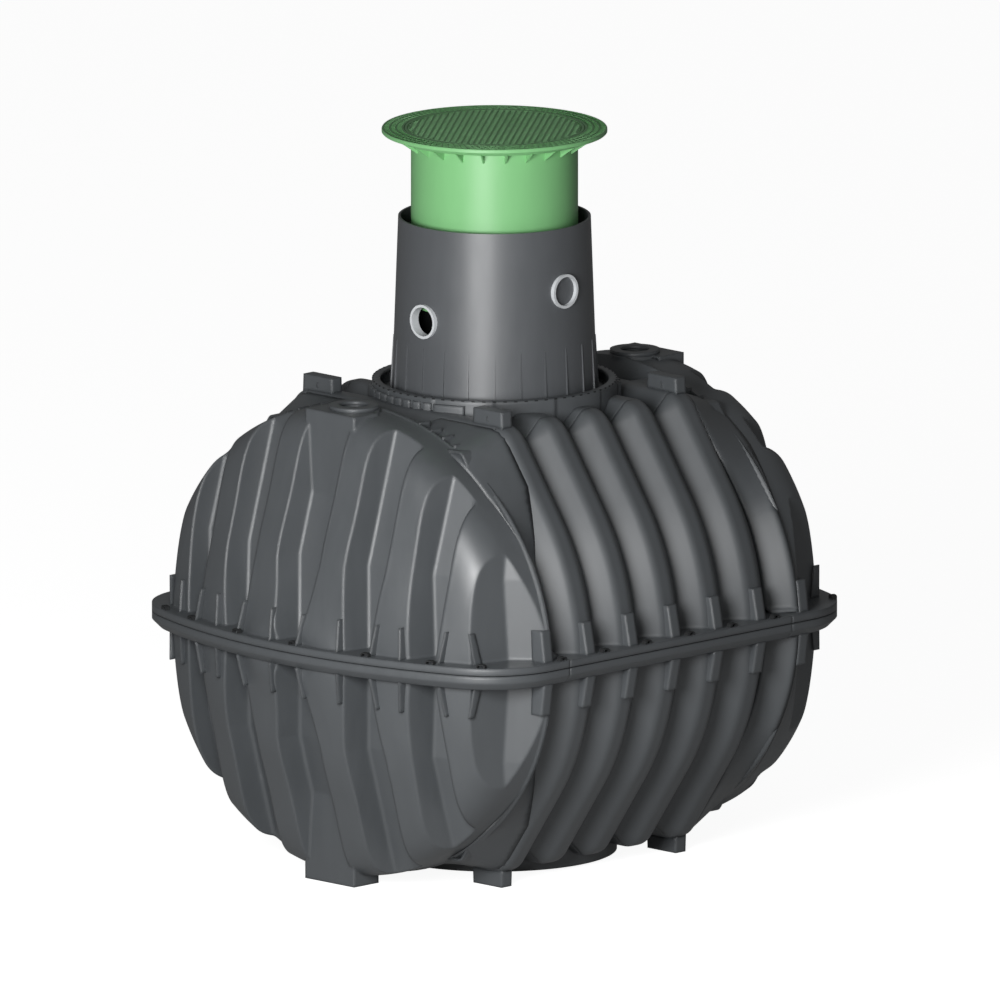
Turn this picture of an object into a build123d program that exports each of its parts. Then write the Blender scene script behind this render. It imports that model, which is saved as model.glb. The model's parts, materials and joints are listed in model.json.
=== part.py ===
from build123d import *
import math
import os

# Buried tank of two ribbed half shells, joined on a flange at mid height, with a collar, a shaft
# and a telescopic neck. Lengths are in millimetres, X along the tank, Z up, the ground at zero.

# Overall sizes
tank_length = 2280.0
tank_width = 1985.0
tank_height = 1820.0
wall = 9.0
middle = tank_height / 2
seam_rise = 15.0

# Ribs round the middle of the tank
rib_count = 5
rib_pitch = 226.0
rib_face = 66.0
rib_depth = 70.0
rib_run = 79.0
rib_round = 44.0
rib_top = 855.0
rib_setback = 57.5
shoulder_radius = 100.0
slope_start = math.radians(35.0)

# Domed ends
arch_x = 655.0
arch_top = 888.0
arch_setback = 30.5
arch_shift = 0.9
arch_foot_x = 618.0
arch_foot_drop = 82.0
split_x = 590.0
crown_split = 500.0
bow_crown = 1095.0
groove_levels = (0.0, 350.0, 880.0)
groove_places = (0.0, 327.0, 608.0, 906.0)
groove_floors = ((1003.0, 940.0, 786.0), (962.0, 914.0, 760.0), (888.0, 858.0, 700.0), (700.0, 690.0, 640.0))
groove_halves = ((31.0, 92.0), (28.0, 70.0), (24.0, 56.0), (74.0, 96.0))
groove_tilts = (0.0, 9.5, 18.0, 37.0)
groove_draft = 12.0
groove_round = 12.0
block_x = 875.0
block_width = 260.0
block_top = 890.0

# Flange where the half shells meet
flange_bow = 2180.0
flange_corner = 320.0
upper_lip = 27.0
lower_lip = 55.0
lower_chamfer = 28.0
gasket_thickness = 4.0
gasket_inset = 7.0
gasket_width = 22.0

# Lugs on top and feet below
lug_x = 462.0
lug_y = 451.0
lug_thickness = 52.0
lug_width = 150.0
lug_taper = 7.0

# Collar over the dome opening
collar_radius = 460.0
collar_top = 900.0
collar_wall = 9.0
collar_rim = 30.0
collar_rim_thickness = 12.0
collar_seat_top = 842.0
collar_seat_thickness = 14.0
manhole_radius = 335.0
crown_top = rib_top - rib_depth

# Shaft and telescopic neck
shaft_foot_radius = 386.0
shaft_top_radius = 362.0
shaft_wall = 9.0
shaft_top = 1522.0
shaft_foot_flange = 26.0
shaft_foot_thickness = 12.0
shaft_seal_thickness = 6.0
neck_radius = 314.0
neck_wall = 7.0
neck_length = 634.0
neck_seal_height = 30.0
neck_seal_drop = 55.0
sliding_gap = 0.3
lid_top = 1858.0
lid_radius = 424.0
lid_rim = 16.0
lid_band_drop = 34.0
lid_band_radius = 372.0
lid_opening = 300.0
lid_gusset_drop = 40.0
cover_radius = 338.0
cover_thickness = 12.0
cover_gap = 3.0
gusset_count = 24
wall_segments = 12
gusset_thickness = 6.0

# Pipe ports
port_bore = 55.0
port_ring_radius = 65.0
port_left_height = 1168.0
port_right_height = 1284.0
port_hole_radius = 62.0
port_collar_length = 34.0
stopper_thickness = 8.0
port_proud = 10.0
port_play = 0.2
end_port_x = 745.0
end_port_radius = 98.0
end_port_height = 14.0
end_port_ledge = 4.0


def arc_profile(x, inset):
    """Closed outline round the middle of the tank, at x, set in from the rib crests."""
    radius = tank_width / 2 - rib_setback - inset
    top = rib_top - inset
    corner = shoulder_radius - inset
    half = (math.pi / 2 - slope_start) / 2
    turn = (radius * math.cos(slope_start), radius * math.sin(slope_start))
    top_y = turn[0] - (top - turn[1]) * math.tan(slope_start)
    reach = corner * math.tan(half)
    flat_end = (top_y - reach, top)
    bend = (top_y - reach + corner * math.sin(half), top - corner + corner * math.cos(half))
    slope_end = (top_y + reach * math.sin(slope_start), top - reach * math.cos(slope_start))

    def at(point, side, level):
        return (x, side * point[0], level * point[1])

    edges = [Line(at(flat_end, -1, 1), at(flat_end, 1, 1))]
    edges.append(ThreePointArc(at(flat_end, 1, 1), at(bend, 1, 1), at(slope_end, 1, 1)))
    edges.append(Line(at(slope_end, 1, 1), at(turn, 1, 1)))
    edges.append(ThreePointArc(at(turn, 1, 1), (x, radius, 0), at(turn, 1, -1)))
    edges.append(Line(at(turn, 1, -1), at(slope_end, 1, -1)))
    edges.append(ThreePointArc(at(slope_end, 1, -1), at(bend, 1, -1), at(flat_end, 1, -1)))
    edges.append(Line(at(flat_end, 1, -1), at(flat_end, -1, -1)))
    edges.append(ThreePointArc(at(flat_end, -1, -1), at(bend, -1, -1), at(slope_end, -1, -1)))
    edges.append(Line(at(slope_end, -1, -1), at(turn, -1, -1)))
    edges.append(ThreePointArc(at(turn, -1, -1), (x, -radius, 0), at(turn, -1, 1)))
    edges.append(Line(at(turn, -1, 1), at(slope_end, -1, 1)))
    edges.append(ThreePointArc(at(slope_end, -1, 1), at(bend, -1, 1), at(flat_end, -1, 1)))
    return make_face(edges)


def rib_ring(inset):
    """One hollowable rib, a full ring with leaning flanks and rounded edges."""
    lean = math.degrees(math.atan2(rib_depth, rib_run))
    half_face = rib_face / 2 - inset * math.tan(math.radians(lean) / 2)
    sink = rib_depth + 10.0
    ring = extrude(arc_profile(-half_face, inset), amount=2 * half_face, dir=(1, 0, 0))
    run = sink / math.tan(math.radians(lean))
    flank = extrude(arc_profile(half_face, inset), amount=run, dir=(1, 0, 0), taper=lean)
    ring = ring + flank + mirror(flank, Plane.YZ)
    near = 0.1
    rims = ring.edges().filter_by_position(Axis.X, half_face - near, half_face + near)
    rims += ring.edges().filter_by_position(Axis.X, -half_face - near, -half_face + near)
    return fillet(rims, rib_round - inset)


def middle_form(inset):
    """Ribbed middle of the tank as one closed form."""
    form = extrude(arc_profile(-split_x, rib_depth + inset), amount=2 * split_x, dir=(1, 0, 0))
    ring = rib_ring(inset)
    first = -(rib_count - 1) / 2 * rib_pitch
    for index in range(rib_count):
        form = form + Pos(first + index * rib_pitch, 0, 0) * ring
    return form


def end_section(x, half_width, half_height, inset):
    plane = Plane(origin=(x, 0, 0), x_dir=(0, 1, 0), z_dir=(1, 0, 0))
    return plane * Ellipse(half_width - inset, half_height - inset)


def end_form(inset):
    """Domed end towards +X: a smooth dome cut by leaning grooves, with a port boss and a block."""
    side = tank_width / 2 - arch_setback
    shift = inset * arch_shift
    sections = [
        end_section(arch_x + shift, side, arch_top, inset),
        end_section(780.0 - inset / 3, side - 32, 885.0, inset),
        end_section(860.0 - inset / 2, side - 80, 858.0, inset),
        end_section(925.0 - inset * 0.7, side - 190, 744.0, inset),
        end_section(992.0 - inset * 0.8, 605.0, 525.0, inset),
        end_section(1040.0 - inset * 0.9, 425.0, 370.0, inset),
        end_section(1078.0 - inset, 250.0, 190.0, inset),
        end_section(bow_crown - inset, 110.0, 75.0, inset),
    ]
    foot = end_section(arch_foot_x + shift, side - arch_foot_drop, arch_top - arch_foot_drop, inset)
    neck = extrude(arc_profile(split_x, rib_depth + inset), amount=arch_x + 30 - split_x, dir=(1, 0, 0))
    dome = loft(sections) + loft([foot, sections[0]], ruled=True) + neck
    for place, floors, widths, tilt in zip(groove_places, groove_floors, groove_halves, groove_tilts):
        for side_sign in (-1, 1):
            dome = dome - groove(side_sign, place, floors, widths, tilt, inset)
    low = inset - middle
    high = block_top - inset
    length = block_x - inset - end_port_x
    block = Pos(end_port_x + length / 2, 0, (low + high) / 2) * Box(length, block_width - 2 * inset, high - low)
    boss = Pos(end_port_x, 0, high / 2) * Cylinder(end_port_radius - inset, high)
    return dome + block + boss


def groove(side, place, floors, widths, tilt, inset):
    """Cutter for one groove of an end, wider above the first level, with its floor turned to follow the bow."""
    reach = 400.0
    spread = reach * math.tan(math.radians(groove_draft))
    sections = []
    for level, floor, half in zip(groove_levels, floors, widths + widths[-1:]):
        drop = half * math.tan(math.radians(tilt))
        near = place - half - inset
        away = place + half + inset
        low = floor - inset
        outline = [(low + drop, near), (low + reach, near - spread), (low + reach, away + spread), (low - drop, away)]
        corners = [(x, side * y, level) for x, y in outline]
        section = make_face(Polyline(corners + corners[:1]))
        sections.append(fillet(section.vertices().sort_by(Axis.X)[:2], groove_round))
    cutter = loft(sections, ruled=True)
    return cutter + mirror(cutter, Plane.XY)


def plan_face(inset, z):
    """Plan of the flange: straight sides, bowed ends, round corners."""
    half_width = tank_width / 2 - inset
    corner = flange_corner - inset
    bow = flange_bow - inset
    bow_centre = tank_length / 2 - flange_bow
    centre_y = half_width - corner
    centre_x = bow_centre + math.sqrt((bow - corner) ** 2 - centre_y ** 2)
    angle = math.atan2(centre_y, centre_x - bow_centre)
    meet = (centre_x + corner * math.cos(angle), centre_y + corner * math.sin(angle))
    between = (angle + math.pi / 2) / 2
    bend = (centre_x + corner * math.cos(between), centre_y + corner * math.sin(between))
    tip = tank_length / 2 - inset

    def at(point, side, way):
        return (side * point[0], way * point[1], z)

    flat = (centre_x, half_width)
    edges = [Line(at(flat, -1, 1), at(flat, 1, 1))]
    edges.append(ThreePointArc(at(flat, 1, 1), at(bend, 1, 1), at(meet, 1, 1)))
    edges.append(ThreePointArc(at(meet, 1, 1), (tip, 0, z), at(meet, 1, -1)))
    edges.append(ThreePointArc(at(meet, 1, -1), at(bend, 1, -1), at(flat, 1, -1)))
    edges.append(Line(at(flat, 1, -1), at(flat, -1, -1)))
    edges.append(ThreePointArc(at(flat, -1, -1), at(bend, -1, -1), at(meet, -1, -1)))
    edges.append(ThreePointArc(at(meet, -1, -1), (-tip, 0, z), at(meet, -1, 1)))
    edges.append(ThreePointArc(at(meet, -1, 1), at(bend, -1, 1), at(flat, -1, 1)))
    return make_face(edges)


def slab(x_from, x_to, y_from, y_to, z_from, z_to):
    size = (x_to - x_from, y_to - y_from, z_to - z_from)
    centre = ((x_from + x_to) / 2, (y_from + y_to) / 2, (z_from + z_to) / 2)
    return Pos(*centre) * Box(*size)


def turned(points):
    """Solid of revolution about the upright axis, from radius and height pairs."""
    outline = Polyline([(radius, 0, height) for radius, height in points + points[:1]])
    return revolve(make_face(outline), Axis.Z)


def segmented(wall_ring):
    """A turned wall as equal segments side by side, which keeps its collision pieces off the hollow."""
    step = 360 / wall_segments
    reach = tank_height
    sheet = Polyline([(0, 0, -reach), (reach, 0, -reach), (reach, 0, 2 * reach), (0, 0, 2 * reach), (0, 0, -reach)])
    sector = Rot(0, 0, -step / 2) * revolve(make_face(sheet), Axis.Z, revolution_arc=step)
    return Compound(children=[wall_ring & (Rot(0, 0, index * step) * sector) for index in range(wall_segments)])


def flange_plates():
    upper = extrude(plan_face(0, seam_rise + gasket_thickness / 2), amount=upper_lip, dir=(0, 0, 1))
    lower = extrude(plan_face(0, seam_rise - gasket_thickness / 2), amount=lower_lip, dir=(0, 0, -1))
    foot = lower.edges().group_by(Axis.Z)[0]
    return upper + chamfer(foot, lower_chamfer, length2=lower_chamfer)


def halves():
    """Shell pieces: walls, crown and base round the middle, and the domed ends."""
    plates = flange_plates()
    far = 2 * tank_length
    middle_outer = middle_form(0)
    middle_inner = middle_form(wall)
    bare_middle = middle_outer + (plates & slab(-split_x, split_x, -far, far, -far, far)) - middle_inner
    bare_middle = bare_middle - Cylinder(collar_radius, 2 * tank_height)
    end_outer = end_form(0)
    bare_end = end_outer + (plates & slab(split_x, far, -far, far, -far, far)) - end_form(wall)
    port = Pos(end_port_x, 0, tank_height / 2) * Cylinder(port_bore, tank_height)
    cut_y = crown_split
    above = seam_rise + gasket_thickness / 2
    below = seam_rise - gasket_thickness / 2
    pieces = {}
    for half, z_from, z_to in (("upper", above, far), ("lower", -far, below)):
        top_name = "crown" if half == "upper" else "base"
        pieces[half + "_" + top_name] = bare_middle & slab(-far, far, -cut_y, cut_y, z_from, z_to)
        pieces[half + "_front_wall"] = bare_middle & slab(-far, far, -far, -cut_y, z_from, z_to)
        pieces[half + "_back_wall"] = bare_middle & slab(-far, far, cut_y, far, z_from, z_to)
        end = bare_end & slab(-far, far, -far, far, z_from, z_to)
        if half == "upper":
            end = end - port
        pieces[half + "_right_end"] = end
        pieces[half + "_left_end"] = mirror(end, Plane.YZ)
    return pieces, middle_outer


def gasket():
    outer = plan_face(gasket_inset, seam_rise - gasket_thickness / 2)
    inner = plan_face(gasket_inset + gasket_width, seam_rise - gasket_thickness / 2)
    return extrude(outer - inner, amount=gasket_thickness, dir=(0, 0, 1))


def lugs(level, carrier):
    """Four tapered lugs on the outer ribs; level 1 is above, level -1 below."""
    lean = lug_taper
    foot = lug_width / 2 + lean
    head = lug_width / 2
    low = crown_top - 40
    outline = Polyline([(0, -foot, low), (0, -head, middle), (0, head, middle), (0, foot, low), (0, -foot, low)])
    lug = extrude(make_face(outline), amount=lug_thickness / 2, both=True, dir=(1, 0, 0))
    group = []
    for x in (-lug_x, lug_x):
        for y in (-lug_y, lug_y):
            piece = Pos(x, y, 0) * lug
            if level < 0:
                piece = mirror(piece, Plane.XY)
            group.append(piece - carrier)
    return group


def collar_points(sign):
    """Section of the collar; sign 1 stands on the crown, sign -1 hangs under the base."""
    inner = collar_radius - collar_wall
    lip = collar_radius - collar_rim
    seat_low = collar_seat_top - collar_seat_thickness
    rim_low = collar_top - collar_rim_thickness
    foot = crown_top - wall
    section = [(collar_radius, foot), (collar_radius, collar_top), (lip, collar_top), (lip, rim_low),
               (inner, rim_low), (inner, collar_seat_top), (manhole_radius, collar_seat_top),
               (manhole_radius, seat_low), (inner, seat_low), (inner, foot)]
    return [(radius, sign * height) for radius, height in section]


def shaft_inner(height):
    """Inner radius of the conical shaft at a height."""
    low = collar_seat_top + shaft_seal_thickness
    share = (height - low) / (shaft_top - low)
    return shaft_foot_radius - shaft_wall + share * (shaft_top_radius - shaft_foot_radius)


def shaft_solid():
    low = collar_seat_top + shaft_seal_thickness
    ledge = low + shaft_foot_thickness
    return turned([(shaft_inner(low), low), (shaft_foot_radius + shaft_foot_flange, low),
                   (shaft_foot_radius + shaft_foot_flange, ledge), (shaft_inner(ledge) + shaft_wall, ledge),
                   (shaft_top_radius, shaft_top), (shaft_inner(shaft_top), shaft_top)])


def port_seal(height):
    """Lip seal of a pipe port, pointing along +X: a sleeve in the shaft's hole and a disc on its outside."""
    start = shaft_inner(height) - port_collar_length / 2
    end = shaft_inner(height) + shaft_wall + port_proud
    length = end - start
    low = collar_seat_top
    core = turned([(0, low), (shaft_inner(low) + shaft_wall, low), (shaft_top_radius, shaft_top), (0, shaft_top)])
    disc = Pos(end - port_ring_radius / 2, 0, height) * Rot(0, 90, 0) * Cylinder(port_ring_radius, port_ring_radius)
    sleeve = Pos((start + end) / 2, 0, height) * Rot(0, 90, 0) * Cylinder(port_hole_radius - port_play, length)
    bore = Pos((start + end) / 2, 0, height) * Rot(0, 90, 0) * Cylinder(port_bore, 2 * length)
    return (disc - core) + sleeve - bore


def port_hole(height):
    reach = 2 * shaft_foot_radius
    return Pos(reach / 2, 0, height) * Rot(0, 90, 0) * Cylinder(port_hole_radius, reach)


def lid_frame():
    seat = lid_top - cover_thickness
    low = lid_top - lid_band_drop
    ring = turned([(cover_radius + cover_gap, lid_top), (lid_radius, lid_top), (lid_radius, lid_top - lid_rim),
                   (lid_band_radius, low), (lid_opening, low), (lid_opening, seat), (cover_radius + cover_gap, seat)])
    outline = [(neck_radius, low), (lid_band_radius, low), (neck_radius, low - lid_gusset_drop), (neck_radius, low)]
    fin = make_face(Polyline([(radius, 0, height) for radius, height in outline]))
    fin = extrude(fin, amount=gusset_thickness / 2, both=True, dir=(0, 1, 0))
    for index in range(gusset_count):
        ring = ring + Rot(0, 0, 360 * (index + 0.5) / gusset_count) * fin
    return ring


pieces, ribbed_middle = halves()
pieces["seam_gasket"] = gasket()
pieces["top_lugs"] = Compound(children=lugs(1, ribbed_middle))
pieces["feet"] = Compound(children=lugs(-1, ribbed_middle))
pieces["dome_collar"] = segmented(turned(collar_points(1)))
pieces["base_ring"] = turned(collar_points(-1))
seat_low = collar_seat_top - collar_seat_thickness
blank = Cylinder(manhole_radius, collar_seat_thickness)
pieces["base_blank"] = Pos(0, 0, -(collar_seat_top + seat_low) / 2) * blank
seal_low = collar_seat_top
seal_high = collar_seat_top + shaft_seal_thickness
foot_outer = shaft_foot_radius + shaft_foot_flange
pieces["shaft_seal"] = turned([(shaft_inner(seal_high), seal_low), (foot_outer, seal_low),
                               (foot_outer, seal_high), (shaft_inner(seal_high), seal_high)])
shaft = shaft_solid()
ports = {"left": (180, port_left_height), "front": (-90, port_right_height)}
cut_shaft = shaft
for angle, height in ports.values():
    cut_shaft = cut_shaft - Rot(0, 0, angle) * port_hole(height)
pieces["shaft"] = segmented(cut_shaft)
for name, (angle, height) in ports.items():
    pieces[name + "_port_seal"] = Rot(0, 0, angle) * port_seal(height)
stopper_at = shaft_inner(port_right_height)
stopper = Pos(stopper_at, 0, port_right_height) * Rot(0, 90, 0) * Cylinder(port_bore, stopper_thickness)
pieces["front_port_stopper"] = Rot(0, 0, ports["front"][0]) * stopper
for name, side in (("left", -1), ("right", 1)):
    ring = Cylinder(end_port_radius - end_port_ledge, end_port_height) - Cylinder(port_bore, 2 * end_port_height)
    pieces[name + "_end_port"] = Pos(side * end_port_x, 0, block_top + end_port_height / 2) * ring
neck_seal_top = shaft_top - neck_seal_drop
neck_seal_low = neck_seal_top - neck_seal_height
seal_bore = neck_radius + sliding_gap
pieces["neck_seal"] = turned([(seal_bore, neck_seal_low), (shaft_inner(neck_seal_low), neck_seal_low),
                              (shaft_inner(neck_seal_top), neck_seal_top), (seal_bore, neck_seal_top)])
tube_top = lid_top - lid_band_drop
tube_low = tube_top - neck_length
tube = turned([(neck_radius - neck_wall, tube_low), (neck_radius, tube_low),
               (neck_radius, tube_top), (neck_radius - neck_wall, tube_top)])
pieces["telescopic_neck"] = segmented(tube)
pieces["lid_frame"] = segmented(lid_frame())
pieces["walk_on_cover"] = Pos(0, 0, lid_top - cover_thickness / 2) * Cylinder(cover_radius, cover_thickness)

os.makedirs("parts", exist_ok=True)
for name, piece in pieces.items():
    export_step(Pos(0, 0, middle) * piece, os.path.join("parts", name + ".step"))
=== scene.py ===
import json
import math

import bmesh
import bpy
from mathutils import Euler, Matrix, Vector


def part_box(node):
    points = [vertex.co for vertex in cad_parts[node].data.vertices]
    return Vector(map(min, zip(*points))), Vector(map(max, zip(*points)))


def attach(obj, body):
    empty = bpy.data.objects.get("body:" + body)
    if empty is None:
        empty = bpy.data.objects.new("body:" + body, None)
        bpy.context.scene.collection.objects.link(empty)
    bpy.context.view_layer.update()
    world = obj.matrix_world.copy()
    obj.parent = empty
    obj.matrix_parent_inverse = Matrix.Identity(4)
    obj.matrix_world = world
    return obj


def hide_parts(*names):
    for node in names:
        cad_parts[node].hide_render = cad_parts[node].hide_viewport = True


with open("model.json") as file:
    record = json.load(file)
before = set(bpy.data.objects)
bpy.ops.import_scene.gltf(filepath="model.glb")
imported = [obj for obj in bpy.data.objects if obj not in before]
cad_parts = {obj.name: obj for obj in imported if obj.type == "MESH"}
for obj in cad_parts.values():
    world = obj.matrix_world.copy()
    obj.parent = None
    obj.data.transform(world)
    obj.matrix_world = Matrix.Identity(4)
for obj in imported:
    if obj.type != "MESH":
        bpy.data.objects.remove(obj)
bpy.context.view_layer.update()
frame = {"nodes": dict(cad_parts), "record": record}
nodes = frame["nodes"]
scene = bpy.context.scene
middle = 0.910  # height of the tank's middle plane above the ground
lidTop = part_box("lid_frame")[1][2]
print("frame loaded:", len(nodes), "nodes")


def finishPiece(name, bm, body, slotName):
    # the slot's name is the name of its material too
    bmesh.ops.recalc_face_normals(bm, faces=bm.faces)
    mesh = bpy.data.meshes.new(name)
    bm.to_mesh(mesh)
    bm.free()
    mesh.materials.append(materials[slotName])
    piece = bpy.data.objects.new(name, mesh)
    scene.collection.objects.link(piece)
    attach(piece, body)
    return piece


def addPrism(bm, loop, along):
    near = [bm.verts.new(point) for point in loop]
    far = [bm.verts.new(Vector(point) + Vector(along)) for point in loop]
    bm.faces.new(near)
    bm.faces.new(list(reversed(far)))
    for index in range(len(loop)):
        after = (index + 1) % len(loop)
        bm.faces.new((near[index], far[index], far[after], near[after]))


def addTurned(bm, profile, steps):
    # profile is a closed list of (radius, height)
    rings = []
    for step in range(steps):
        turn = 2 * math.pi * step / steps
        ring = [(r * math.cos(turn), r * math.sin(turn), z) for r, z in profile]
        rings.append([bm.verts.new(point) for point in ring])
    for ring, following in zip(rings, rings[1:] + rings[:1]):
        for index in range(len(profile)):
            after = (index + 1) % len(profile)
            bm.faces.new((ring[index], following[index], following[after], ring[after]))


def addBar(bm, start, end, halfWidth, low, high):
    # upright bar along a level line from start to end
    run = (Vector(end) - Vector(start)).normalized()
    side = Vector((-run.y, run.x)) * halfWidth
    loop = [Vector(start) + side, Vector(start) - side, Vector(end) - side, Vector(end) + side]
    addPrism(bm, [(p.x, p.y, low) for p in loop], (0, 0, high - low))


def spin(point, degrees):
    turn = math.radians(degrees)
    x, y, z = point
    return (x * math.cos(turn) - y * math.sin(turn), x * math.sin(turn) + y * math.cos(turn), z)


def smoothen(bm, sharpFrom=0.5):
    # smooth shading, but for edges of more than an angle in radians
    bmesh.ops.recalc_face_normals(bm, faces=bm.faces)
    for face in bm.faces:
        face.smooth = True
    for edge in bm.edges:
        edge.smooth = edge.calc_face_angle(0) < sharpFrom


rayReach = 2.0  # further out than any wall


def wallHit(nodeName, inside, outward):
    # where a line from far outside, back along outward to a point inside, first meets a node's surface
    start = Vector(inside) + Vector(outward) * rayReach
    found, place, _, _ = nodes[nodeName].ray_cast(start, -Vector(outward).normalized())
    return place if found else None


def ramp(value, start, end):
    # from 0 at start to 1 at end
    return min(max((value - start) / (end - start), 0), 1)


# plastic: slow drift of the colour, upright streaks and a fine grain
plastic = {"driftScale": 4.0, "driftDetail": 6.0, "streakStretch": (26.0, 26.0, 5.0), "streakDetail": 4.0,
           "roughnessShare": 0.15, "grainDetail": 2.0, "grainHeight": 0.001, "edgeSamples": 6}


def socketIn(group, name, kind, value):
    socket = group.interface.new_socket(name=name, in_out="INPUT", socket_type=kind)
    socket.default_value = value


def mathNode(tree, operation):
    node = tree.new("ShaderNodeMath")
    node.operation = operation
    return node


def makeMouldedGroup():
    group = bpy.data.node_groups.new("mouldedPlastic", "ShaderNodeTree")
    socketIn(group, "Colour", "NodeSocketColor", (0.5, 0.5, 0.5, 1))
    socketIn(group, "Mottle", "NodeSocketFloat", 0.1)
    socketIn(group, "Grain Scale", "NodeSocketFloat", 400.0)
    socketIn(group, "Roughness", "NodeSocketFloat", 0.5)
    results = {"Colour": "NodeSocketColor", "Roughness": "NodeSocketFloat", "Height": "NodeSocketFloat"}
    for name, kind in results.items():
        group.interface.new_socket(name=name, in_out="OUTPUT", socket_type=kind)
    tree, links = group.nodes, group.links
    inputs = tree.new("NodeGroupInput")
    outputs = tree.new("NodeGroupOutput")
    place = tree.new("ShaderNodeTexCoord")
    drift = tree.new("ShaderNodeTexNoise")
    drift.inputs["Scale"].default_value = plastic["driftScale"]
    drift.inputs["Detail"].default_value = plastic["driftDetail"]
    links.new(place.outputs["Object"], drift.inputs["Vector"])
    stretch = tree.new("ShaderNodeMapping")
    stretch.inputs["Scale"].default_value = plastic["streakStretch"]
    links.new(place.outputs["Object"], stretch.inputs["Vector"])
    streak = tree.new("ShaderNodeTexNoise")
    streak.inputs["Scale"].default_value = 1.0
    streak.inputs["Detail"].default_value = plastic["streakDetail"]
    links.new(stretch.outputs["Vector"], streak.inputs["Vector"])
    both = mathNode(tree, "ADD")
    links.new(drift.outputs["Fac"], both.inputs[0])
    links.new(streak.outputs["Fac"], both.inputs[1])
    centred = mathNode(tree, "SUBTRACT")  # two noises of one half on average make one
    links.new(both.outputs[0], centred.inputs[0])
    centred.inputs[1].default_value = 1.0
    amount = mathNode(tree, "MULTIPLY_ADD")
    links.new(centred.outputs[0], amount.inputs[0])
    links.new(inputs.outputs["Mottle"], amount.inputs[1])
    amount.inputs[2].default_value = 1.0
    tint = tree.new("ShaderNodeVectorMath")
    tint.operation = "SCALE"
    links.new(inputs.outputs["Colour"], tint.inputs[0])
    links.new(amount.outputs[0], tint.inputs["Scale"])
    links.new(tint.outputs[0], outputs.inputs["Colour"])
    rough = mathNode(tree, "MULTIPLY_ADD")
    links.new(centred.outputs[0], rough.inputs[0])
    rough.inputs[1].default_value = plastic["roughnessShare"]
    links.new(inputs.outputs["Roughness"], rough.inputs[2])
    links.new(rough.outputs[0], outputs.inputs["Roughness"])
    grain = tree.new("ShaderNodeTexNoise")
    grain.inputs["Detail"].default_value = plastic["grainDetail"]
    links.new(place.outputs["Object"], grain.inputs["Vector"])
    links.new(inputs.outputs["Grain Scale"], grain.inputs["Scale"])
    links.new(grain.outputs["Fac"], outputs.inputs["Height"])
    return group


mouldedGroup = makeMouldedGroup()


def makePlastic(name, look):
    material = bpy.data.materials.new(name)
    material.use_nodes = True
    tree, links = material.node_tree.nodes, material.node_tree.links
    shader = tree["Principled BSDF"]
    moulded = tree.new("ShaderNodeGroup")
    moulded.node_tree = mouldedGroup
    moulded.inputs["Colour"].default_value = (*look["colour"], 1)
    moulded.inputs["Mottle"].default_value = look["mottle"]
    moulded.inputs["Grain Scale"].default_value = look["grainScale"]
    moulded.inputs["Roughness"].default_value = look["roughness"]
    links.new(moulded.outputs["Colour"], shader.inputs["Base Color"])
    links.new(moulded.outputs["Roughness"], shader.inputs["Roughness"])
    bump = tree.new("ShaderNodeBump")
    bump.inputs["Strength"].default_value = look["grain"]
    bump.inputs["Distance"].default_value = plastic["grainHeight"]
    links.new(moulded.outputs["Height"], bump.inputs["Height"])
    if look["edge"]:
        rounded = tree.new("ShaderNodeBevel")
        rounded.samples = plastic["edgeSamples"]
        rounded.inputs["Radius"].default_value = look["edge"]
        links.new(rounded.outputs["Normal"], bump.inputs["Normal"])
    links.new(bump.outputs["Normal"], shader.inputs["Normal"])
    shader.inputs["Specular IOR Level"].default_value = look["gloss"]
    return material


looks = {
    "shell": {"colour": (0.074, 0.081, 0.087), "mottle": 0.12, "grainScale": 260.0, "roughness": 0.45,
              "grain": 0.10, "edge": 0.018, "gloss": 0.9},
    "shaft": {"colour": (0.085, 0.091, 0.098), "mottle": 0.10, "grainScale": 300.0, "roughness": 0.42,
              "grain": 0.08, "edge": 0.0, "gloss": 0.8},
    "green": {"colour": (0.215, 0.515, 0.215), "mottle": 0.06, "grainScale": 300.0, "roughness": 0.42,
              "grain": 0.06, "edge": 0.0, "gloss": 0.5},
    "seal": {"colour": (0.60, 0.62, 0.64), "mottle": 0.08, "grainScale": 500.0, "roughness": 0.5,
             "grain": 0.05, "edge": 0.0, "gloss": 0.4},
    "rubber": {"colour": (0.018, 0.019, 0.02), "mottle": 0.2, "grainScale": 600.0, "roughness": 0.75,
               "grain": 0.1, "edge": 0.0, "gloss": 0.3},
}
materials = {name: makePlastic(name + "Plastic", look) for name, look in looks.items()}
slotOf = {part["node"]: part["material_slot"] for part in frame["record"]["subparts"]}
slotOf["front_port_stopper"] = "shaft"  # as dark as the shaft that it closes
for nodeName, node in nodes.items():
    if not node.material_slots:
        node.data.materials.append(None)
    for entry in node.material_slots:
        entry.material = materials[slotOf[nodeName]]
print("materials on", len(nodes), "nodes")

# cover with its non-slip ribs, the ribs of the second direction a little lower
cover = {"radius": 0.338, "bottom": lidTop - 0.012, "plate": lidTop - 0.0065, "rim": 0.010, "centre": 0.001,
         "ribGap": 0.004, "pitch": 0.0226, "halfWidth": 0.0034, "sunk": 0.001, "lower": 0.0008,
         "directions": (38.4, 128.4), "steps": 144}


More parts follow.
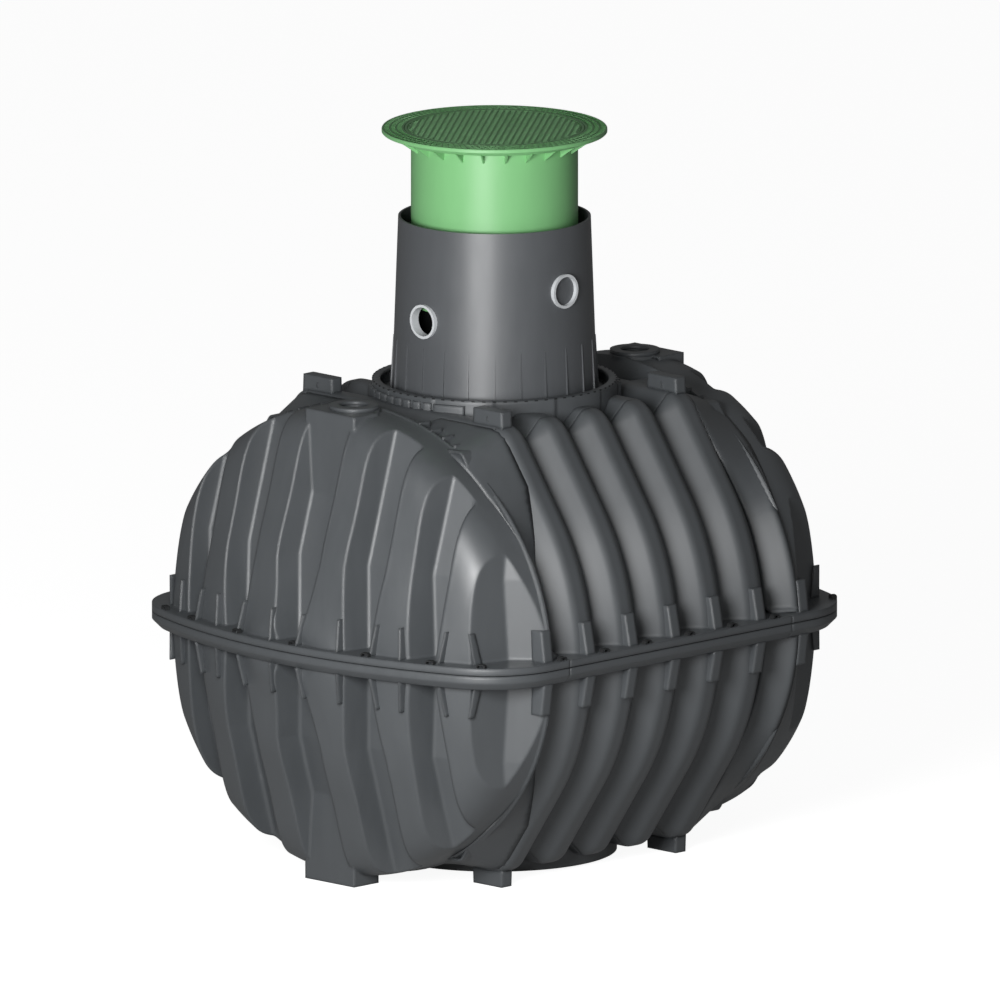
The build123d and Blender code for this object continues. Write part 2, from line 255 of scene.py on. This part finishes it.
def makeCover():
    bm = bmesh.new()
    radius, inside = cover["radius"], cover["radius"] - cover["rim"]
    profile = [(cover["centre"], cover["bottom"]), (radius, cover["bottom"]), (radius, lidTop),
               (inside, lidTop), (inside, cover["plate"]), (cover["centre"], cover["plate"])]
    addTurned(bm, profile, cover["steps"])
    reach = inside - cover["ribGap"]
    count = int(reach / cover["pitch"])
    for step, direction in enumerate(cover["directions"]):
        high = lidTop - cover["lower"] * step
        for index in range(-count, count + 1):
            offset = index * cover["pitch"]
            half = math.sqrt(reach ** 2 - offset ** 2)
            start = spin((-half, offset, 0), direction)
            end = spin((half, offset, 0), direction)
            addBar(bm, start[:2], end[:2], cover["halfWidth"], cover["plate"] - cover["sunk"], high)
    piece = finishPiece("coverPlate", bm, "neck", "green")
    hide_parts("walk_on_cover")


makeCover()

# lid frame: flared rim with three rows of cells, conical band and gussets
lid = {"inner": 0.341, "seat": 0.300, "radius": 0.424, "band": 0.372, "neck": 0.314, "floor": lidTop - 0.0055,
       "rimDrop": 0.016, "bandDrop": 0.034, "coverDrop": 0.0125, "topBevel": (0.002, 0.003),
       "lowBevel": 0.003, "flare": (0.012, 0.010), "steps": 144}
cells = {"rows": (0.349, 0.371, 0.394, 0.417), "count": 96, "half": 0.0022, "sunk": 0.001, "lower": 0.0006,
         "skew": 1.6}
gussets = {"count": 24, "turn": 7.5, "half": 0.003, "drop": 0.042, "sunk": 0.001, "root": 0.002,
           "out": (0.008, 0.002), "lip": 0.004}


def lidProfile():
    low, top = lidTop - lid["bandDrop"], lidTop
    seat = top - lid["coverDrop"]
    first, last = cells["rows"][0], cells["rows"][-1]
    across, down = lid["topBevel"]
    out, up = lid["flare"]
    return [(lid["inner"], top), (first, top), (first, lid["floor"]), (last, lid["floor"]), (last, top),
            (lid["radius"] - across, top), (lid["radius"], top - down),
            (lid["radius"], top - lid["rimDrop"] + lid["lowBevel"]),
            (lid["radius"] - lid["lowBevel"], top - lid["rimDrop"]), (lid["band"] + out, low + up),
            (lid["band"], low), (lid["seat"], low), (lid["seat"], seat), (lid["inner"], seat)]


def addCells(bm):
    low, half = lid["floor"] - cells["sunk"], cells["half"]
    for radius in cells["rows"][1:-1]:
        ring = [(radius - half, low), (radius + half, low), (radius + half, lidTop), (radius - half, lidTop)]
        addTurned(bm, ring, lid["steps"])
    for row, (inner, outer) in enumerate(zip(cells["rows"], cells["rows"][1:])):
        for index in range(cells["count"]):
            turn = 360 * (index + 0.5 * (row % 2)) / cells["count"]
            start = spin((inner - cells["sunk"], 0, 0), turn)
            end = spin((outer + cells["sunk"], 0, 0), turn + cells["skew"])
            addBar(bm, start[:2], end[:2], half, low, lidTop - cells["lower"])


def addGussets(bm):
    low, half = lidTop - lid["bandDrop"], gussets["half"]
    wide, narrow = gussets["out"]
    root, foot = lid["neck"] - gussets["root"], low - gussets["drop"]
    outline = [(root, low + gussets["sunk"]), (lid["band"] + wide, low + gussets["sunk"]),
               (lid["band"] - narrow, low - gussets["lip"]), (lid["neck"] + gussets["sunk"], foot),
               (root, foot)]
    for index in range(gussets["count"]):
        turn = gussets["turn"] + 360 * index / gussets["count"]
        addPrism(bm, [spin((r, -half, z), turn) for r, z in outline], spin((0, 2 * half, 0), turn))


def makeLidFrame():
    bm = bmesh.new()
    addTurned(bm, lidProfile(), lid["steps"])
    addCells(bm)
    addGussets(bm)
    piece = finishPiece("lidFrame", bm, "neck", "green")
    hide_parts("lid_frame")


makeLidFrame()
print("lid and cover made")

# shaft and neck as whole rings, without the joints between their segments
tubes = {"steps": 192, "shaftFoot": 0.386, "shaftTop": 0.362, "shaftWall": 0.009, "flange": 0.026,
         "ledge": 0.012, "slope": 24.0 / 674.0, "neck": 0.314, "neckWall": 0.007, "port": 0.062, "drill": 0.2,
         "portSteps": 64}


def drillPorts(body):
    drills = []
    quarter = math.pi / 2
    for nodeName, turn in (("left_port_seal", (0, quarter, 0)), ("front_port_seal", (quarter, 0, 0))):
        low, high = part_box(nodeName)
        place = Matrix.Translation((Vector(low) + Vector(high)) / 2) @ Euler(turn).to_matrix().to_4x4()
        bm = bmesh.new()
        bmesh.ops.create_cone(bm, cap_ends=True, segments=tubes["portSteps"], radius1=tubes["port"],
                              radius2=tubes["port"], depth=tubes["drill"], matrix=place)
        mesh = bpy.data.meshes.new("drill")
        bm.to_mesh(mesh)
        bm.free()
        drill = bpy.data.objects.new("drill", mesh)
        scene.collection.objects.link(drill)
        cut = body.modifiers.new("port", "BOOLEAN")
        cut.operation = "DIFFERENCE"
        cut.object = drill
        drills.append(drill)
    evaluated = body.evaluated_get(bpy.context.evaluated_depsgraph_get())
    drilled = bpy.data.meshes.new_from_object(evaluated)
    body.modifiers.clear()
    bm = bmesh.new()
    bm.from_mesh(drilled)
    smoothen(bm)
    bm.to_mesh(body.data)
    bm.free()
    for drill in drills:
        bpy.data.objects.remove(drill)


def makeTubes():
    low, high = (corner[2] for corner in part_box("shaft"))
    ledge = low + tubes["ledge"]
    foot, top, wall = tubes["shaftFoot"], tubes["shaftTop"], tubes["shaftWall"]
    bm = bmesh.new()
    profile = [(foot - wall, low), (foot + tubes["flange"], low), (foot + tubes["flange"], ledge),
               (foot - tubes["ledge"] * tubes["slope"], ledge), (top, high), (top - wall, high)]
    addTurned(bm, profile, tubes["steps"])
    smoothen(bm)
    body = finishPiece("shaftBody", bm, "tank", "shaft")
    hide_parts("shaft")
    drillPorts(body)
    low, high = (corner[2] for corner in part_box("telescopic_neck"))
    outer, inner = tubes["neck"], tubes["neck"] - tubes["neckWall"]
    bm = bmesh.new()
    addTurned(bm, [(inner, low), (outer, low), (outer, high), (inner, high)], tubes["steps"])
    smoothen(bm)
    body = finishPiece("neckTube", bm, "neck", "green")
    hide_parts("telescopic_neck")


makeTubes()

# slim upright fins round the foot of the shaft
shaftFins = {"count": 24, "low": middle + 0.860, "high": middle + 1.066, "foot": 0.3855, "proud": 0.007,
             "headProud": 0.002, "sunk": 0.004, "half": 0.002}


def makeShaftFins():
    bm = bmesh.new()
    foot, low, high, half = shaftFins["foot"], shaftFins["low"], shaftFins["high"], shaftFins["half"]
    head = foot - (high - low) * tubes["slope"]
    outline = [(foot - shaftFins["sunk"], low), (foot + shaftFins["proud"], low),
               (head + shaftFins["headProud"], high), (head - shaftFins["sunk"], high)]
    for index in range(shaftFins["count"]):
        turn = 360 * index / shaftFins["count"]
        addPrism(bm, [spin((r, -half, z), turn) for r, z in outline], spin((0, 2 * half, 0), turn))
    finishPiece("shaftFins", bm, "tank", "shaft")


makeShaftFins()

# collar: near-black strips along the rim as painted shade in place of its slots, teeth and panels below it;
# turns are in degrees
collar = {"radius": 0.460, "top": middle + 0.900, "slots": 72, "slotHalf": 0.0065, "slotSunk": 0.004,
          "slotProud": 0.0006, "slotDrop": 0.0035}
teeth = {"from": 135.0, "to": 195.0, "step": 6.0, "low": middle + 0.806, "high": middle + 0.882,
         "sunk": 0.003, "deep": (0.016, 0.009), "turns": (1.6, 5.2)}
panel = {"from": 196.0, "to": 211.0, "sunk": 0.004, "deep": 0.018, "parts": 6}


def addSector(bm, fromTurn, toTurn, inner, outer, low, high, parts):
    turns = [fromTurn + (toTurn - fromTurn) * part / parts for part in range(parts + 1)]
    outside = [spin((outer, 0, low), turn) for turn in turns]
    inside = [spin((inner, 0, low), turn) for turn in reversed(turns)]
    addPrism(bm, outside + inside, (0, 0, high - low))


def makeCollarSlotShade():
    bm = bmesh.new()
    half = math.degrees(collar["slotHalf"] / collar["radius"])
    inner, outer = collar["radius"] - collar["slotSunk"], collar["radius"] + collar["slotProud"]
    low, high = collar["top"] - collar["slotDrop"], collar["top"] + collar["slotProud"]
    for index in range(collar["slots"]):
        turn = 360 * index / collar["slots"]
        addSector(bm, turn - half, turn + half, inner, outer, low, high, 1)
    # painted shade: the slots are not cut in, thin near-black blocks standing just proud of the collar stand
    # in for the shade inside them
    finishPiece("collarSlotShade", bm, "tank", "rubber")


def makeCollarTeeth():
    bm = bmesh.new()
    radius, low, high = collar["radius"], teeth["low"], teeth["high"]
    root, (first, last), (rise, fall) = radius - teeth["sunk"], teeth["deep"], teeth["turns"]
    outline = [(root, 0.0), (radius + first, rise), (radius + last, fall), (root, fall)]
    for opposite in (0.0, 180.0):
        turn = teeth["from"]
        while turn < teeth["to"]:
            loop = [spin((r, 0, low), opposite + turn + step) for r, step in outline]
            addPrism(bm, loop, (0, 0, high - low))
            turn += teeth["step"]
        addSector(bm, opposite + panel["from"], opposite + panel["to"], radius - panel["sunk"],
                  radius + panel["deep"], low, high, panel["parts"])
    finishPiece("collarTeeth", bm, "tank", "shell")


makeCollarSlotShade()
makeCollarTeeth()
print("shaft and collar trim made")

# fins on the edges of the crests and pads on the ribs, where these run out on the flange
flange = {"top": middle + 0.044, "underside": middle - 0.042, "halfWidth": 0.9925, "halfLength": 1.140,
          "bow": 2.180, "edge": 0.003}
fins = {"crests": ((0.070, 0.264), (0.408, 0.540), (0.686, 0.806)), "high": 0.119, "half": 0.003,
        "proud": 0.022, "footProud": 0.034, "bury": 0.008, "inward": 0.008, "lean": 0.014, "clear": 0.004,
        "sunk": 0.002}
pads = {"ribs": (-0.678, -0.452, -0.226, 0.0, 0.226, 0.452, 0.678), "outerHalf": 0.023,
        "innerHalf": 0.027, "bury": 0.030, "endsFrom": 0.6}


def flangeReach(y):
    # how far out the bowed end of the flange lies at y
    bow = flange["bow"]
    return flange["halfLength"] - bow + math.sqrt(bow ** 2 - y ** 2)


def finLevels(level):
    # heights where a fin or pad stands in the flange, where its foot is measured, and of its tip
    root = flange["top"] if level > 0 else flange["underside"]
    return root - level * fins["sunk"], root + level * fins["clear"], root + level * fins["high"]


def addEndFin(bm, side, y, inward, level):
    # upright fin on the edge of a crest, leaning with that edge
    base, clear, tip = finLevels(level)
    node = ("upper" if level > 0 else "lower") + ("_right_end" if side > 0 else "_left_end")
    leaning = y + inward * fins["lean"]
    low = wallHit(node, (0, y + inward * fins["inward"], clear), (side, 0, 0))
    high = wallHit(node, (0, leaning + inward * fins["inward"], tip), (side, 0, 0))
    foot = min(abs(low.x) + fins["footProud"], flangeReach(y) - flange["edge"])
    loop = [(side * foot, y, base), (high.x + side * fins["proud"], leaning, tip),
            (high.x - side * fins["bury"], leaning, tip), (low.x - side * fins["bury"], y, base)]
    addPrism(bm, [(x, across - fins["half"], z) for x, across, z in loop], (0, 2 * fins["half"], 0))


def addRibPad(bm, side, rib, level):
    # tapered pad where a rib runs out on the flange
    base, clear, tip = finLevels(level)
    half = "upper" if level > 0 else "lower"
    node = half + ("_back_wall" if side > 0 else "_front_wall")
    if abs(rib) > pads["endsFrom"]:
        node = half + ("_right_end" if rib > 0 else "_left_end")
    low = abs(wallHit(node, (rib, 0, clear), (0, side, 0)).y)
    high = abs(wallHit(node, (rib, 0, tip), (0, side, 0)).y)
    foot = min(low + fins["footProud"], flange["halfWidth"] - flange["edge"])
    levels = ((foot, low - pads["bury"], base), (high + fins["proud"], high - pads["bury"], tip))
    narrow, wide = pads["outerHalf"], pads["innerHalf"]
    loops = []
    for outer, inner, z in levels:
        corners = [(-narrow, outer), (narrow, outer), (wide, inner), (-wide, inner)]
        loops.append([bm.verts.new((rib + x, side * y, z)) for x, y in corners])
    bm.faces.new(loops[0])
    bm.faces.new(list(reversed(loops[1])))
    for index in range(4):
        after = (index + 1) % 4
        bm.faces.new((loops[0][index], loops[1][index], loops[1][after], loops[0][after]))


def makeFlangeGussets():
    bm = bmesh.new()
    for level in (1, -1):
        for side in (-1, 1):
            for inner, outer in fins["crests"]:
                for mirrored in (-1, 1):
                    addEndFin(bm, side, mirrored * inner, mirrored, level)
                    addEndFin(bm, side, mirrored * outer, -mirrored, level)
            for rib in pads["ribs"]:
                addRibPad(bm, side, rib, level)
    finishPiece("flangeGussets", bm, "tank", "shell")


makeFlangeGussets()

# clips on the flange: small loops, open towards the outside
clips = {"onEnds": (-0.860, -0.671, -0.397, -0.050, 0.262, 0.555, 0.760), "endInset": 0.030,
         "onSides": (-0.616, -0.390, -0.164, 0.062, 0.288, 0.514), "sideInset": 0.028, "measured": 0.008,
         "halfWidth": 0.017, "high": 0.015, "deep": 0.020, "wall": 0.004, "sunk": 0.002, "shoulder": 0.0105,
         "topOutside": 0.0102, "topInside": 0.0085}


def addClip(bm, centre, outward):
    out = Vector(outward).normalized()
    along = Vector((-out.y, out.x, 0))
    wide, high, wall, foot = clips["halfWidth"], clips["high"], clips["wall"], -clips["sunk"]
    shoulder, over, under = clips["shoulder"], clips["topOutside"], clips["topInside"]
    inside, bend = wide - wall, shoulder - wall / 2
    outline = [(-wide, foot), (-wide, shoulder), (-over, high), (over, high), (wide, shoulder), (wide, foot),
               (inside, foot), (inside, bend), (under, high - wall), (-under, high - wall), (-inside, bend),
               (-inside, foot)]
    loop = [Vector(centre) + along * a + Vector((0, 0, b)) for a, b in outline]
    addPrism(bm, loop, out * clips["deep"])


def makeFlangeClips():
    bm = bmesh.new()
    for side in (-1, 1):
        for y in clips["onEnds"]:
            rim = wallHit("upper_right_end", (0, y, flange["top"] - clips["measured"]), (1, 0, 0))
            addClip(bm, (side * (rim.x - clips["endInset"]), y, flange["top"]), (side * flange["bow"], y, 0))
        for x in clips["onSides"]:
            addClip(bm, (x, side * (flange["halfWidth"] - clips["sideInset"]), flange["top"]), (0, side, 0))
    finishPiece("flangeClips", bm, "tank", "rubber")


makeFlangeClips()

# small raised bar in the middle of both broad faces of every lug
lugMark = {"x": 0.462, "y": 0.451, "face": 0.026, "z": middle + 0.876, "half": 0.004, "high": 0.012,
           "proud": 0.003, "sunk": 0.001}


def makeLugMarks():
    bm = bmesh.new()
    half, high = lugMark["half"], lugMark["high"]
    outline = [(-half, -high + half), (0, -high), (half, -high + half), (half, high - half), (0, high),
               (-half, high - half)]
    thick = lugMark["proud"] + lugMark["sunk"]
    for side in (-1, 1):
        for front in (-1, 1):
            for facing in (-1, 1):
                x = side * lugMark["x"] + facing * (lugMark["face"] - lugMark["sunk"])
                loop = [(x, front * lugMark["y"] + a, lugMark["z"] + b) for a, b in outline]
                addPrism(bm, loop, (facing * thick, 0, 0))
    finishPiece("lugMarks", bm, "tank", "shell")


makeLugMarks()

# saw-tooth fins in the valley between each end and the first rib
valley = {"x": 0.630, "reach": 0.030, "drop": 0.090, "half": 0.003,
          "tops": ((0.260, 0.859), (0.322, 0.841), (0.384, 0.823), (0.446, 0.801))}


def makeValleyFins():
    bm = bmesh.new()
    near, far = valley["x"] - valley["reach"], valley["x"] + valley["reach"]
    for side in (-1, 1):
        for front in (-1, 1):
            for y, top in valley["tops"]:
                high, low = middle + top, middle + top - valley["drop"]
                outline = [(side * far, high), (side * near, high), (side * near, low), (side * far, low)]
                loop = [(x, front * y - valley["half"], z) for x, z in outline]
                addPrism(bm, loop, (0, 2 * valley["half"], 0))
    finishPiece("valleyFins", bm, "tank", "shell")


makeValleyFins()

# sloping banks from the rim of each end down to the first rib, in sections at turns from the top or
# bottom (in degrees); between the turns of "widens" the foot leaves the rib's crest for its flank
bank = {"turns": list(range(14, 87, 2)) + [87.2], "widens": (46, 64), "sinks": (32, 26), "sink": 0.025,
        "rim": 0.656, "rimStep": 0.044, "crest": 0.492, "flank": 0.563, "deep": 0.610, "thick": 0.030,
        "lift": 0.002}


def bankSection(half, side, front, degrees):
    # three points: on the rim of the end, on the first rib, and deep in the valley
    turn = math.radians(degrees)
    level = 1 if half == "upper" else -1
    out = Vector((0, front * math.sin(turn), level * math.cos(turn)))
    axis = Vector((0, 0, middle))
    share = ramp(degrees, *bank["widens"])
    footX = side * (bank["crest"] + share * (bank["flank"] - bank["crest"]))
    rimX = side * (bank["rim"] + bank["rimStep"] * (1 - share))
    rim = wallHit(half + ("_right_end" if side > 0 else "_left_end"), axis + Vector((rimX, 0, 0)), out)
    wall = half + ("_back_wall" if front > 0 else "_front_wall")
    flat = "upper_crown" if level > 0 else "lower_base"
    feet = [wallHit(name, axis + Vector((footX, 0, 0)), out) for name in (wall, flat)]
    reaches = [(foot - axis).dot(out) for foot in feet if foot is not None]
    if rim is None or not reaches:
        return None
    sunk = bank["sink"] * ramp(degrees, *bank["sinks"])
    rimReach = (rim - axis).dot(out) + bank["lift"] - sunk
    footReach = max(reaches) - bank["lift"] * (1 - 2 * share)
    deepReach = min(rimReach, footReach) - bank["thick"]
    corners = ((rimX, rimReach), (footX, footReach), (side * bank["deep"], deepReach))
    return [axis + Vector((x, 0, 0)) + out * reach for x, reach in corners]


def addBank(bm, half, side, front):
    found = [bankSection(half, side, front, degrees) for degrees in bank["turns"]]
    sections = [[bm.verts.new(point) for point in section] for section in found if section]
    for here, following in zip(sections, sections[1:]):
        for index in range(3):
            after = (index + 1) % 3
            bm.faces.new((here[index], following[index], following[after], here[after]))
    bm.faces.new(sections[0])
    bm.faces.new(list(reversed(sections[-1])))


def makeValleyBanks():
    bm = bmesh.new()
    for half in ("upper", "lower"):
        for side in (1, -1):
            for front in (1, -1):
                addBank(bm, half, side, front)
    smoothen(bm)
    finishPiece("valleyBanks", bm, "tank", "shell")


makeValleyBanks()
print("flange and valley trim made")

# floor, light and camera
studio = {"floor": 90.0, "floorColour": (0.42, 0.42, 0.42), "floorGlow": 0.93, "world": 0.10,
          "glossyShare": 0.1, "lampAim": (0, 0, 1.1),
          "key": {"azimuth": -60.0, "elevation": 15.0, "distance": 7.0, "size": 3.0, "power": 470.0},
          "fill": {"azimuth": -20.0, "elevation": 30.0, "distance": 7.0, "size": 3.0, "power": 20.0}}
view = {"azimuth": -45.0, "elevation": 11.5, "aim": (0.0146, -0.0146, 1.3406), "width": 3.754,
        "distance": 9.0, "clipEnd": 120.0}


def directionFrom(azimuth, elevation):
    a, e = math.radians(azimuth), math.radians(elevation)
    return Vector((math.sin(a) * math.cos(e), -math.cos(a) * math.cos(e), math.sin(e)))


def backdropMask(tree, links):
    # 1 for rays of the camera, also through glass, and a share of that for reflections
    path = tree.new("ShaderNodeLightPath")
    seen = mathNode(tree, "MAXIMUM")
    links.new(path.outputs["Is Camera Ray"], seen.inputs[0])
    links.new(path.outputs["Is Transmission Ray"], seen.inputs[1])
    mirrored = mathNode(tree, "MULTIPLY")
    links.new(path.outputs["Is Glossy Ray"], mirrored.inputs[0])
    mirrored.inputs[1].default_value = studio["glossyShare"]
    mask = mathNode(tree, "MAXIMUM")
    links.new(seen.outputs[0], mask.inputs[0])
    links.new(mirrored.outputs[0], mask.inputs[1])
    return mask.outputs[0]


def makeFloor():
    half = studio["floor"] / 2
    mesh = bpy.data.meshes.new("floor")
    corners = [(-half, -half, 0), (half, -half, 0), (half, half, 0), (-half, half, 0)]
    mesh.from_pydata(corners, [], [(0, 1, 2, 3)])
    material = bpy.data.materials.new("paleFloor")
    material.use_nodes = True
    tree, links = material.node_tree.nodes, material.node_tree.links
    tree.remove(tree["Principled BSDF"])
    diffuse = tree.new("ShaderNodeBsdfDiffuse")
    diffuse.inputs["Color"].default_value = (*studio["floorColour"], 1)
    glow = tree.new("ShaderNodeEmission")
    strength = mathNode(tree, "MULTIPLY")
    links.new(backdropMask(tree, links), strength.inputs[0])
    strength.inputs[1].default_value = studio["floorGlow"]
    links.new(strength.outputs[0], glow.inputs["Strength"])
    both = tree.new("ShaderNodeAddShader")
    links.new(diffuse.outputs[0], both.inputs[0])
    links.new(glow.outputs[0], both.inputs[1])
    links.new(both.outputs[0], tree["Material Output"].inputs["Surface"])
    mesh.materials.append(material)
    floor = bpy.data.objects.new("floor", mesh)
    scene.collection.objects.link(floor)


def makeWorld():
    world = bpy.data.worlds.new("studio")
    scene.world = world
    world.use_nodes = True
    tree, links = world.node_tree.nodes, world.node_tree.links
    tree.clear()
    strength = tree.new("ShaderNodeMapRange")
    strength.inputs["To Min"].default_value = studio["world"]
    strength.inputs["To Max"].default_value = 1.0
    links.new(backdropMask(tree, links), strength.inputs["Value"])
    background = tree.new("ShaderNodeBackground")
    links.new(strength.outputs[0], background.inputs["Strength"])
    output = tree.new("ShaderNodeOutputWorld")
    links.new(background.outputs[0], output.inputs["Surface"])


def makeLamp(name, lamp):
    light = bpy.data.lights.new(name, "AREA")
    light.shape = "DISK"
    light.size = lamp["size"]
    light.energy = lamp["power"]
    holder = bpy.data.objects.new(name, light)
    away = directionFrom(lamp["azimuth"], lamp["elevation"])
    holder.location = Vector(studio["lampAim"]) + away * lamp["distance"]
    holder.rotation_euler = away.to_track_quat("Z", "Y").to_euler()
    scene.collection.objects.link(holder)


def makeCamera():
    lens = bpy.data.cameras.new("camera")
    lens.type = "ORTHO"
    lens.ortho_scale = view["width"]
    lens.clip_end = view["clipEnd"]
    camera = bpy.data.objects.new("camera", lens)
    away = directionFrom(view["azimuth"], view["elevation"])
    camera.location = Vector(view["aim"]) + away * view["distance"]
    camera.rotation_euler = away.to_track_quat("Z", "Y").to_euler()
    scene.collection.objects.link(camera)
    scene.camera = camera


makeFloor()
makeWorld()
makeLamp("keyLamp", studio["key"])
makeLamp("fillLamp", studio["fill"])
makeCamera()
scene.view_settings.view_transform = "Standard"
print("studio made")
